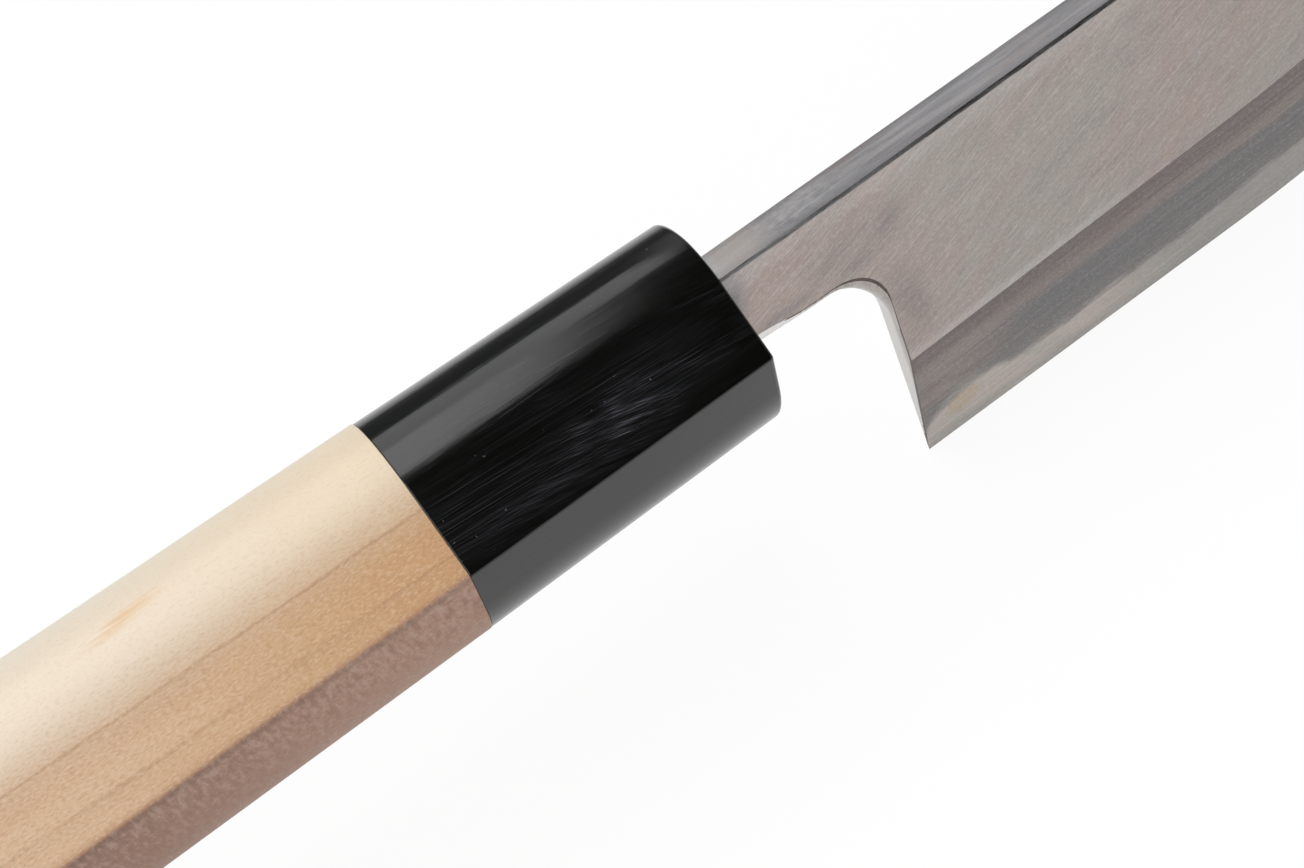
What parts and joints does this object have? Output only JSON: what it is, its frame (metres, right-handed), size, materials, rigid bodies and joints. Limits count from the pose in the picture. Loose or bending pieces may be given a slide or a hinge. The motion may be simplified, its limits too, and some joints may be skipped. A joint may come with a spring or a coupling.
{
  "type": "deba knife",
  "caption": "Single-bevel kitchen knife with a thick wedge blade, a notch behind the heel, a dark horn ferrule and a pale wooden handle with a ridge along its right side.",
  "frame": {"origin": "below the middle of the knife's bounding box, level with the cutting edge at the heel", "axes": "+X from the butt to the point, +Z from the cutting edge to the spine, +Y out of the flat back of the blade, -Y out of the bevelled side"},
  "size_m": [0.288, 0.0262, 0.0531],
  "materials": {
    "soft_iron": "satin, ground along the height of the blade",
    "hard_steel": "finely polished",
    "horn": "polished, with fine scratches along it",
    "wood": "bare, finely sanded"
  },
  "bodies": {
    "root": {"blade_body": "soft_iron", "edge_steel": "hard_steel", "ferrule": "horn", "handle": "wood"}
  },
  "joints": []
}
